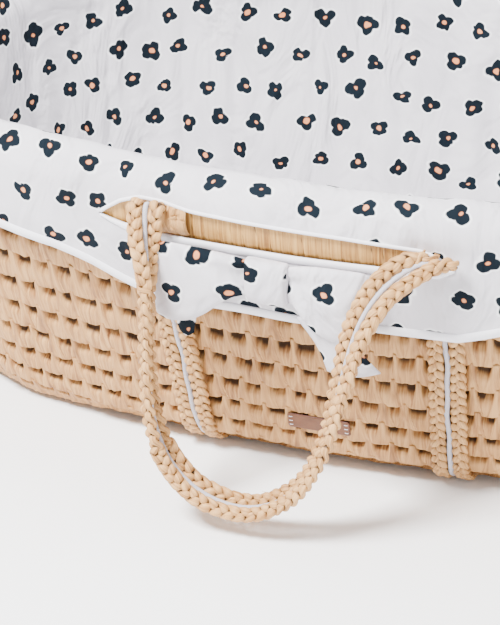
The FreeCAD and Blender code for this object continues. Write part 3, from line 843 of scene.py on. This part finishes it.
def eye_edges(place):
    """Heights of the slot's lower and upper edge at points of the skirt, near and far alike."""
    x = -np.sign(place[..., 1]) * place[..., 0]
    table = np.array(EYE, float)
    return (np.interp(x, table[:, 0], table[:, 1]), np.interp(x, table[:, 0], table[:, 2]),
            (x > -158) & (x < 122) & (np.abs(place[..., 1]) > 150))


# The skirt hangs parallel to the rim down to the shoulder and slants in to the hem below it.
HEM_LEVEL, SHOULDER, HEM_OUTSET = 156.0, 44, 14.8


def hem_height(place):
    """The hem climbs a little towards both ends."""
    return np.interp(np.abs(place[..., 0]), (0, 120, 168, 203, 250, 420),
                     (156, 157, 171, 179, 184, 186))


def skirt_place(lap, height, extra):
    """Points of the skirt at a height, pushed out by extra."""
    share = np.clip((height - HEM_LEVEL) / SHOULDER, 0, 1)
    foot = wall_outside(HEM_LEVEL)
    a, b = foot[0] + (RIM[0] - foot[0]) * share, foot[1] + (RIM[1] - foot[1]) * share
    outset = HEM_OUTSET + (CLOTH_DEPTH - HEM_OUTSET) * share
    return raised(oval(a, b, outset + extra, np.broadcast_to(lap, height.shape))[0], height)


def drape(distance, length, low, high, height, rng):
    """Soft uneven folds of the skirt, strongest at the hem."""
    free = 1 - smooth((height - low) / (high - low))
    folds = ripple(distance, length, [(length / 210, 1.0), (length / 118, 0.8),
                                      (length / 71, 0.5)], rng)
    return folds * (0.25 + 0.75 * free)


SEAM = 219
LINING_FLOOR = 21.4


def cover(cloth, binding):
    """The cloth in one sheet from slot and hem over the rim and down the inside, and its edges."""
    rng = np.random.default_rng(21)
    count = 1000
    lap, distance, length = laps(count, *RIM, start=1.0)
    rim_place, _ = oval(*RIM, np.full(count, CLOTH_DEPTH), lap)
    low_edge, high_edge, in_slot = eye_edges(rim_place)
    low_edge = np.where(in_slot, low_edge, SEAM)
    high_edge = np.where(in_slot, high_edge, SEAM)
    hem = hem_height(rim_place)
    rng_state = rng.integers(1 << 30)

    def folds(height):
        return drape(distance, length, HEM_LEVEL, 225, height, np.random.default_rng(rng_state))

    quarter = np.pi / 4 * (CLOTH_DEPTH + CLOTH_RISE)
    share = np.linspace(0, 1, 12)[:, None]
    height = hem + (low_edge - hem) * share
    lower = skirt_place(lap, height, folds(height))
    build = Build()
    uv_v = -(quarter + RIM_HEIGHT - height)
    build.grid(lower, loop_uv(12, uv_v, distance, length), loop_columns=True)

    share = np.linspace(0, 1, 6)[:, None]
    height = high_edge + (np.maximum(high_edge, RIM_HEIGHT + 6) - high_edge) * share
    in_arc = np.arcsin(np.clip((height - RIM_HEIGHT) / CLOTH_RISE, -1, 1))
    outset = np.where(height > RIM_HEIGHT, CLOTH_DEPTH * np.cos(in_arc), CLOTH_DEPTH)
    below = np.where(height > RIM_HEIGHT, RIM_HEIGHT, height)
    upper = skirt_place(lap, below, folds(height) + outset - CLOTH_DEPTH)
    upper[..., 2] = height
    v_upper = -(quarter + RIM_HEIGHT - height)
    start = np.arcsin(np.clip((height[-1] - RIM_HEIGHT) / CLOTH_RISE, -1, 1))
    arc = start + (np.pi - start) * np.linspace(0, 1, 20)[1:, None]
    soft = ripple(distance, length, [(length / 160, 0.5), (length / 61, 0.35),
                                     (length / 33, 0.2)], rng)
    reach = (CLOTH_DEPTH + soft * np.sin(arc)) * np.cos(arc)
    where, _ = oval(*RIM, reach + folds(np.full_like(arc + distance, 225.0)) *
                    np.clip(np.cos(arc), 0, 1), np.broadcast_to(lap, reach.shape))
    over = raised(where, RIM_HEIGHT + (CLOTH_RISE + soft) * np.sin(arc))
    v_over = -(quarter - quarter / (np.pi / 2) * arc) + 0 * distance
    foot = LINING_FLOOR
    drop = np.linspace(0, 1, 34)[1:, None]
    a0, b0 = wall_outside(foot)
    creases = ripple(distance, length, [(length / 96, 0.9), (length / 57, 0.8), (length / 31, 0.5),
                                        (length / 150, 1.3)], rng)
    inner_out = -CLOTH_DEPTH + (CLOTH_DEPTH - 17.2) * drop
    sag = -np.abs(creases) * np.sin(np.pi * np.clip(drop, 0, 1)) ** 0.8 * 1.3
    height_in = RIM_HEIGHT + (foot - RIM_HEIGHT) * drop + 0 * distance
    where, _ = oval(RIM[0] + (a0 - RIM[0]) * drop, RIM[1] + (b0 - RIM[1]) * drop,
                    inner_out + sag, np.broadcast_to(lap, height_in.shape))
    inside = raised(where, height_in)
    v_in = quarter + (RIM_HEIGHT - height_in) * 1.03
    sheet = np.concatenate([upper, over, inside])
    v_all = np.concatenate([v_upper, v_over, v_in])
    build.grid(sheet, loop_uv(len(sheet), v_all, distance, length), loop_columns=True)
    main = build.object("cloth_cover", cloth, "printed_cotton", join=True)
    thicken(main, 1.3)
    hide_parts("cover_rim", "cover_skirt", "cover_lining")

    floor = Build()
    outline = oval(a0 - 17.6, b0 - 17.6, 0.0, laps(160, *RIM, start=1.0)[0])[0]
    rings = np.array([raised(outline * share, foot) for share in np.linspace(1, 0.04, 14)])
    index = floor.grid(rings, flat_uv(rings, (0, 1)), loop_columns=True)
    floor.cap(index[-1])
    bottom = floor.object("lining_floor", cloth, "printed_cotton")
    thicken(bottom, 1.0)
    bottom.parent = main
    bottom.matrix_parent_inverse = Matrix.Identity(4)

    edges = [hem_band(lap, distance, length, hem - 0.4, folds, binding)]
    for word, side in (("near", NEAR), ("far", FAR)):
        edges.append(slot_band(word, side, lap, rim_place, low_edge, in_slot, folds, binding))
        edges.append(slot_roll(word, side, rim_place, upper[0], in_slot, binding))


def thicken(piece, thickness):
    """Gives a single layer of cloth its thickness, away from its outer face."""
    solid = piece.modifiers.new("thickness", "SOLIDIFY")
    solid.thickness = thickness * MM
    solid.offset = -1


def hem_band(lap, distance, length, edge, folds, material):
    """The folded binding over the skirt's lower edge, all the way round."""
    width = 7.4
    profile = [(0.03, -1.7), (0.0, 0.2), (0.03, 0.9), (0.5, 1.15), (0.94, 1.05), (1.0, 0.35),
               (1.0, -1.7)]
    rows = []
    for share, out in profile:
        height = edge[None] + width * share
        rows.append(skirt_place(lap, height, folds(height) + out)[0])
    build = Build()
    build.grid(np.array(rows), loop_uv(len(rows) + 1, np.arange(len(rows) + 1) * 2.0,
                                       distance, length), loop_rows=True, loop_columns=True)
    return build.part("hem_binding", material, "white_binding")


def slot_columns(side, rim_place, in_slot):
    """Indices of the columns in one slot, in order."""
    on_side = in_slot & (np.sign(rim_place[:, 1]) == side)
    found = np.flatnonzero(on_side)
    jump = np.flatnonzero(np.diff(found) > 1)
    return np.roll(found, -jump[0] - 1) if len(jump) else found


def slot_band(word, side, lap, rim_place, low_edge, in_slot, folds, material):
    """The plain band under a slot."""
    columns = slot_columns(side, rim_place, in_slot)
    top = low_edge[columns]
    x = -side * rim_place[columns, 0]
    width = np.interp(x, (-158, -130, 110, 122), (1.2, 5.2, 5.2, 1.2))
    profile = [(0.0, -1.6), (0.0, 0.5), (0.1, 1.0), (0.6, 1.3), (1.0, 1.1), (1.08, 0.2),
               (1.04, -1.6)]
    rows = []
    for share, out in profile:
        height = top - width * (1 - share)
        fold = folds(np.broadcast_to(height[0], (1, len(lap))))[0][columns]
        rows.append(skirt_place(lap[columns], height, fold + out))
    rows = np.array(rows)
    along = lengths(rows[0])
    uv = np.stack([np.broadcast_to(along, (len(rows) + 1, len(along))),
                   np.broadcast_to(np.arange(len(rows) + 1)[:, None] * 2.0,
                                   (len(rows) + 1, len(along)))], -1) * MM
    build = Build()
    index = build.grid(rows, uv, loop_rows=True)
    build.cap(index[:, 0])
    build.cap(index[:, -1], flip=True)
    return build.part(f"slot_binding_{word}", material, "white_binding")


def slot_roll(word, side, rim_place, edge, in_slot, material):
    """The rolled seam along the upper edge of a slot."""
    columns = slot_columns(side, rim_place, in_slot)
    line = edge[columns] + np.array([0, 0, 0.3])
    line, _ = even(line, 3.0)
    build = Build()
    tube(build, line, (0, 0, 1), 1.5, 1.3, ring=8)
    return build.object(f"slot_roll_{word}", material, "white_binding")


# ------------------------------------------------------------------ straps and handles

# Control points, and the turn of the pair in degrees from side by side at each.
HANDLE_ROUTE = (
    (-112, -248, 235, 0), (-110, -253, 222, 45), (-106, -261, 202, 94), (-104, -268, 176, 108),
    (-103, -275, 140, 108), (-101, -280, 106, 103), (-96, -283, 75, 94), (-83, -285, 47, 86),
    (-61, -286, 28, 82), (-31, -286, 20, 82), (-3, -286, 28, 82), (19, -285, 47, 80),
    (34, -284, 74, 76), (43, -282, 103, 68), (49, -280, 131, 58), (55, -277, 160, 46),
    (63, -272, 188, 34), (75, -264, 209, 22), (92, -254, 225, 10), (112, -248, 235, 0),
)
PLAIT_SPACING = 16.4
# How a plait goes into the slot: two points more from its first and from its last one.
LEFT_END = np.array([[0.5, 8.5, 3.0], [0.2, 4.0, 9.0]])
RIGHT_END = np.array([[-3.0, 1.0, -4.0], [4.0, 6.0, -8.0]])


def handle_routes():
    """Control points of the handle's middle line and of its two plaits, near side."""
    middle = np.array([row[:3] for row in HANDLE_ROUTE], float)
    along = np.array([middle[min(i + 1, len(middle) - 1)] - middle[max(i - 1, 0)]
                      for i in range(len(middle))])
    along = unit(along)
    outward = np.array([0, -1.0, 0]) - along * -along[:, 1:2]
    outward = unit(outward)
    across = np.cross(along, outward)
    angle = np.radians([row[3] for row in HANDLE_ROUTE])[:, None]
    width = across * np.cos(angle) + outward * np.sin(angle)
    for end in (0, -1):
        width[end] = (math.copysign(1 / math.sqrt(1 - along[end, 0] ** 2), middle[end, 0]), 0, 0)
    half = PLAIT_SPACING / 2
    return middle, middle + width * half, middle - width * half


def handle(word, body, plait_paint, cord_paint):
    """Two plaits, turned on edge where the loop hangs away, and the cord between them."""
    middle, outer, inner = handle_routes()
    lines = {}
    for part, route in (("middle", middle), ("outer", outer), ("inner", inner)):
        tip = middle[-1] + (route[-1] - middle[-1]) * 0.5
        lines[part] = nurbs(np.concatenate([route[0] + LEFT_END, route[1:-1], tip + RIGHT_END]))
    rng = np.random.default_rng(40 if word == "near" else 41)
    spread = lines["outer"] - lines["inner"]
    tangent = unit(np.gradient(lines["middle"], axis=0))
    outward = np.array([0, -1.0, 0]) - tangent * -tangent[:, 1:2]
    across = unit(np.cross(tangent, unit(outward)))
    share = unit(across * 0.62 * np.sign((across * spread).sum(1, keepdims=True) + 0.2)
                 + unit(spread) * 0.45)
    for part in ("outer", "inner"):
        path, along = even(lines[part], 0.9)
        source = np.linspace(0, 1, len(lines[part]))
        target = np.linspace(0, 1, len(path))
        flat = np.stack([np.interp(target, source, share[:, k]) for k in range(3)], 1)
        build = Build()
        plait(build, path, flat, 3.1, 1.9, 3.2, 2.4, 27.0, rng, 1.3, 4.5,
              start_phase=0.0 if part == "outer" else 1.9)
        if word == "far":
            build.turn()
            path = turned(path)
        piece = build.part(f"handle_{word}_plait_{part}", plait_paint, "husk_plait", body)
        tuple(path[0] * MM)
        path[::4] * MM
    path, along = even(lines["middle"], 2.0)
    if word == "far":
        path = turned(path)
    build = Build()
    tube(build, path, (1, 0.3, 0), 2.0, 2.0, ring=12)
    piece = build.part(f"handle_{word}_cord", cord_paint, "cotton_cord", body)
    tuple(path[0] * MM)
    path[::2] * MM


def strap_place(height, side, x_place, extra):
    """A point of a strap on the wall's outside."""
    a, b = wall_outside(height)
    _, side_radius, _, _, _ = oval_facts(a, b)
    sag = side_radius - math.sqrt(side_radius ** 2 - x_place ** 2)
    return (x_place, side * (b - sag + extra), height)


def strap(hand_word, hand, plait_paint, cord_paint):
    """Two plaits and a cord, down the near wall, under the base and up the far wall."""
    rng = np.random.default_rng(60 + hand)

    def route(offset, out, under):
        def x_at(height):
            share = (height - FLOORS[0]) / (FLOORS[-1] - FLOORS[0])
            return hand * (103 + 9 * share) + offset
        near = [strap_place(z, NEAR, x_at(z), out) for z in (207, 180, 150, 120, 90, 60, 40, 24)]
        corner = strap_place(5.2, NEAR, x_at(5.2), -11)
        near += [strap_place(13, NEAR, x_at(13), -1), corner,
                 (corner[0], corner[1] + 12, under), (corner[0], corner[1] + 40, under),
                 (corner[0], -60, under)]
        far = [(x, -y, z) for x, y, z in reversed(near)]
        return nurbs(near + far)

    for strand, offset in (("a", -PLAIT_SPACING / 2), ("b", PLAIT_SPACING / 2)):
        path, _ = even(route(offset, 6.4, 4.6), 0.9)
        build = Build()
        plait(build, path, np.array([1.0, 0, 0]), 3.5, 1.35, 3.4, 2.25, 25.0, rng, 1.6, 7.0,
              start_phase=0.7 if strand == "a" else 2.6 + hand)
        piece = build.object(f"strap_{hand_word}_plait_{strand}", plait_paint, "husk_plait")
        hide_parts(f"strap_near_{hand_word}_plait_{strand}",
                    f"strap_far_{hand_word}_plait_{strand}",
                    f"strap_{hand_word}_under_plait_{strand}")
    path, along = even(route(0, 6.6, 4.6), 2.0)
    path[:, 0] += 0.7 * np.sin(along / 13 + hand) + 0.5 * np.sin(along / 5.7)
    build = Build()
    tube(build, path, (1, 0, 0), 2.1, 2.0, ring=12)
    build.part(f"strap_{hand_word}_cord", cord_paint, "cotton_cord")


def lashing(word, side, hand_word, hand, paint):
    """Husk strips tied round the rim where a handle starts, with short frayed ends."""
    rng = np.random.default_rng(80 + side * 3 + hand)
    build = Build()
    # The near left binding shows in the slot, on the inner side of its handle.
    centre = hand * 112 + (17 if hand < 0 else -14)
    strips = 7 if hand < 0 else 4
    for strip in range(strips):
        x = centre + (strip - strips / 2 + 0.5) * 3.3 + rng.normal(0, 0.8)
        lean = rng.normal(0, 3.5)
        line = nurbs([(x + lean * 0.2, -226, 212), (x, -236, 216), (x + lean * 0.5, -240.6, 224),
                      (x + lean, -240.5, 231 if hand < 0 else 228),
                      (x + lean * 1.3, -235, 239 if hand < 0 else 230)], 8)
        line, _ = even(line, 1.5)
        width = 2.5 * (0.85 + 0.3 * np.sin(np.linspace(0, np.pi, len(line)))) * rng.uniform(.8, 1.2)
        tube(build, line, (1, 0, 0.1), width, 1.25, ring=10,
             pleats=0.1, tint=rng.uniform(), seed=strip)
    for end in range(5):
        root = np.array([centre + rng.uniform(-9, 11), -240.4, rng.uniform(222, 236)])
        out = np.array([rng.uniform(-0.2, 1.0), -0.25, rng.uniform(-0.6, 0.8)])
        line = np.array([root + out * s for s in np.linspace(0, rng.uniform(6, 11), 7)])
        width = rng.uniform(1.4, 2.6) * np.linspace(1, 0.45, 7)
        tube(build, line, np.cross(out, [0, 1.0, 0.3]), width, 0.5, ring=8,
             tint=rng.uniform(), seed=end + 9)
    if side == FAR:
        build.turn()
    build.part(f"lashing_{word}_{hand_word}", paint, "husk_plait")


# ------------------------------------------------------------------ bow, tag, mattress

def bow_loop(table, pleats, seed):
    """A puffed fold of cloth. Each row of the table is x, lowest z, highest z, back y, front y."""
    rows = np.array(table, float)
    keys = np.linspace(0, 1, len(rows))
    fine = np.linspace(0, 1, 34)
    spline = [np.interp(fine, keys, rows[:, k]) for k in range(5)]
    for _ in range(2):
        spline = [np.concatenate([s[:1], (s[:-2] + 2 * s[1:-1] + s[2:]) / 4, s[-1:]])
                  for s in spline]
    x, low, high, back, front = spline
    angle = np.linspace(0, 2 * np.pi, 44, endpoint=False)
    rng = np.random.default_rng(seed)
    cosine, sine = np.cos(angle), np.sin(angle)
    tall = np.sign(cosine) * np.abs(cosine) ** 0.8
    deep = np.sign(sine) * np.abs(sine) ** 0.75
    share = fine[:, None]
    gathered = (1 - share) ** 1.2
    waves = sum(size * np.sin(count * np.pi * tall + phase + share * twist)
                for count, size, phase, twist in
                [(2.0, 0.5, rng.uniform(0, 6), 1.5), (3.3, 0.4, rng.uniform(0, 6), -2.0),
                 (5.1, 0.25, rng.uniform(0, 6), 1.0)]) * pleats * (0.25 + 1.2 * gathered)
    middle_z, half_z = (low + high) / 2, (high - low) / 2
    middle_y, half_y = (back + front) / 2, (front - back) / 2
    z = middle_z[:, None] + half_z[:, None] * tall
    y = middle_y[:, None] + half_y[:, None] * deep + waves * np.where(sine < 0, 1, 0.3) * -1
    return np.stack([np.broadcast_to(x[:, None], z.shape), y, z], -1)


def bow(word, side, cloth):
    """Loops and knot puffed out, with two flat tails."""
    # x, lowest z, highest z, back (towards the wall), front (away from it)
    left = [(-31, 182, 209, -243, -250), (-36, 181, 210.5, -243, -252.5),
            (-44, 179, 212.5, -243, -256.5), (-54, 172, 214, -243, -257.5),
            (-65, 162, 215, -243, -257.5), (-78, 154, 215.5, -243, -256.5),
            (-92, 151, 215.5, -243.5, -254.5), (-102, 152, 215, -244, -252),
            (-106, 156, 214, -246, -250)]
    right = [(-2, 181, 208, -243, -250), (3, 180, 209.5, -243, -252.5),
             (10, 172, 212, -243, -256.5), (20, 161, 213.5, -243, -257.5),
             (32, 155.5, 214, -243, -257.5), (46, 155, 214, -243, -256.5),
             (58, 157, 213.5, -244, -253), (63, 161, 211, -246, -250)]
    knot = [(-33, 180, 211, -243, -253), (-31.8, 178.5, 213, -242, -256.4),
            (-26, 178, 213.6, -241.5, -259.0), (-17, 178, 213.2, -241.5, -259.4),
            (-7, 178, 212.6, -241.5, -259.0), (-1.4, 178.4, 212, -242, -257.4),
            (-0.2, 180, 210, -243, -253)]
    for part, table, pleats, shift in (("loop_left", left, 1.9, (14, 3)),
                                       ("loop_right", right, 1.9, (95, 17)),
                                       ("knot", knot, 0.3, (9, 9))):
        points = bow_loop(table, pleats, len(part) + 3)
        if part != "knot":
            # A crease runs out from the knot.
            away = np.abs(points[..., 0] + 16.5) - 15
            crease = np.exp(-((points[..., 2] - 198 - away * 0.12) / (3.2 + away * 0.1)) ** 2)
            front = points[..., 1] < -249
            points[..., 1] += 4.5 * crease * np.exp(-away / 24) * front
        if side == FAR:
            points = turned(points)
        build = Build()
        build.closed(points, flat_uv(points * (-side), (0, 2), shift))
        piece = build.part(f"bow_{word}_{part}", cloth, "printed_cotton")
        smoother = piece.modifiers.new("smooth", "SUBSURF")
        smoother.levels = smoother.render_levels = 1
    tails = {
        "tail_left": [[(-82, -240, 172), (-70, -240, 172)], [(-91, -242, 158), (-75, -242, 158)],
                      [(-93, -241, 147), (-78, -241, 148)], [(-91, -239, 139), (-80, -239, 139)]],
        "tail_right": [[(4, -245, 168), (30, -247, 178)], [(16, -247, 156), (44, -250, 164)],
                       [(24, -247, 143), (54, -250, 150)], [(28, -246, 128), (70, -248, 134)]],
    }
    for part, rows in tails.items():
        rows = np.array(rows, float)
        edge = [nurbs(rows[:, k], 8) for k in (0, 1)]
        size = min(len(edge[0]), len(edge[1]))
        across = np.linspace(0, 1, 11)[:, None, None]
        grid = edge[0][None, :size] * (1 - across) + edge[1][None, :size] * across
        swell = np.sin(np.pi * across[..., 0]) * np.linspace(1, 0.2, size)
        grid[..., 1] -= 1.6 * swell
        grid[..., 2] -= 4 * np.sin(np.pi * across[..., 0]) * np.linspace(0, 1, size) ** 4
        if side == FAR:
            grid = turned(grid)
        build = Build()
        build.grid(grid, np.stack([31 - side * grid[..., 0], grid[..., 2] + 5], -1) * MM, flip=True)
        piece = build.part(f"bow_{word}_{part}", cloth, "printed_cotton")
        thicken(piece, 1.2)
        length = float(np.linalg.norm(np.diff(grid[5], axis=0), axis=1).sum()) * MM
        width = float(np.linalg.norm(grid[-1] - grid[0], axis=1).mean()) * MM


def rounded_outline(length, height, radius):
    steps = 6
    corners = []
    for x, z, start in ((1, 1, 0), (-1, 1, 90), (-1, -1, 180), (1, -1, 270)):
        for step in range(steps + 1):
            angle = math.radians(start + 90 * step / steps)
            corners.append((x * (length / 2 - radius) + radius * math.cos(angle),
                            z * (height / 2 - radius) + radius * math.sin(angle)))
    return np.array(corners)


TAG = (51, 14)


def tag(material, thread):
    """The blank leather tag, sewn on at both ends."""
    low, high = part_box("leather_tag")
    centre = (np.array(low) + np.array(high)) / 2 / MM
    # The wall moves out by 50 over a rise of 198.
    slope = 50 / 198
    rings = []
    profile = ((1.4, 0.05), (0.35, 0.15), (0.0, 0.5), (0.1, 1.2), (0.55, 1.55), (1.5, 1.65))
    for inset, out in profile:
        outline = rounded_outline(TAG[0] - 2 * inset, TAG[1] - 2 * inset, max(2.2 - inset, 0.5))
        x, z = outline[:, 0], outline[:, 1]
        y = centre[1] + 0.8 - out - z * slope * 0.95 + (x / TAG[0]) ** 2 * 1.2
        rings.append(np.stack([centre[0] + x, y, centre[2] + z], -1))
    rings = np.array(rings)
    build = Build()
    edge = np.array([1, 1, 1, 0.9, 0.5, 0.0])[:, None]
    index = build.grid(rings, flat_uv(rings, (0, 2)), edge, loop_columns=True, flip=True)
    build.cap(index[0])
    build.cap(index[-1], flip=True)
    piece = build.part("leather_tag", material, "tan_leather")
    stitches = Build()
    for end in (-1, 1):
        for row in (-4, 0, 4):
            x = centre[0] + end * 22.6
            y = centre[1] + 0.8 - 1.6 - row * slope * 0.95 + 0.3
            line = np.array([(x - 1.6, y + 0.9, row), (x - 1.2, y - 0.2, row), (x, y - 0.45, row),
                             (x + 1.2, y - 0.2, row), (x + 1.6, y + 0.9, row)], float)
            line[:, 2] += centre[2]
            tube(stitches, line, (0, 0, 1), 0.26, 0.24, ring=8)
    sewn = stitches.object("tag_stitches", thread, "white_binding", ride=False)
    sewn.parent = piece
    sewn.matrix_parent_inverse = Matrix.Identity(4)


MATTRESS = (348, 152)
MATTRESS_LOW, MATTRESS_TALL, MATTRESS_EDGE = 22.8, 34.0, 12


def mattress(cloth):
    """A pad with rounded edges."""
    half_width = MATTRESS[1]
    lap = laps(320, *MATTRESS, 0.0, start=1.0)[0]
    rings = [(-half_width * share, MATTRESS_LOW + 0.02) for share in (0.96, 0.7, 0.4, 0.2)]
    for angle in np.radians(np.linspace(-90, 90, 13)):
        rings.append((MATTRESS_EDGE * (math.cos(angle) - 1),
                      MATTRESS_LOW + MATTRESS_TALL / 2 * (1 + math.sin(angle))))
    rings += [(-half_width * share, MATTRESS_LOW + MATTRESS_TALL)
              for share in (0.14, 0.3, 0.5, 0.75, 0.96)]
    outline, _ = oval(*MATTRESS, 0.0, lap)
    grid = np.array([raised(outline * np.array([1 + 0.6 * out / half_width,
                                                1 + out / half_width]), height)
                     for out, height in rings])
    build = Build()
    build.closed(grid, flat_uv(grid, (0, 1)))
    piece = build.object("mattress_cover", cloth, "mattress_cloth", "mattress")
    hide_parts("mattress_cover", "mattress_pad")


weave_paint = husk("husk_weave", (0.55, 0.305, 0.115), (0.35, 0.158, 0.046),
                   (0.11, 0.036, 0.009), 380, 26)
wrap_paint = husk("husk_wrap", (0.58, 0.33, 0.098), (0.36, 0.165, 0.034), (0.13, 0.045, 0.008),
                  640, 18, gloss=0.42)
plait_paint = husk("husk_plait", (0.62, 0.36, 0.145), (0.42, 0.205, 0.064), (0.13, 0.045, 0.011),
                   520, 22)
print_paint = printed_cotton()
white_paint = plain_cotton("white_binding", (0.80, 0.79, 0.84), (0.86, 0.85, 0.89))
mattress_paint = plain_cotton("mattress_cloth", (0.82, 0.82, 0.84), (0.88, 0.88, 0.89))
cord_paint = twisted_cotton()
wood_paint = pole_wood()

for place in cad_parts["rim_pole"].material_slots:
    place.material = wood_paint

basket_weave(weave_paint)
rim_wrapping(wrap_paint)
cover(print_paint, white_paint)
for hand_word, hand in (("left", -1), ("right", 1)):
    strap(hand_word, hand, plait_paint, cord_paint)
for word, side in (("near", NEAR), ("far", FAR)):
    handle(word, f"{word}_handle", plait_paint, cord_paint)
    bow(word, side, print_paint)
    for hand_word, hand in (("left", -1), ("right", 1)):
        lashing(word, side, hand_word, hand, plait_paint)
tag(leather(), white_paint)
mattress(mattress_paint)
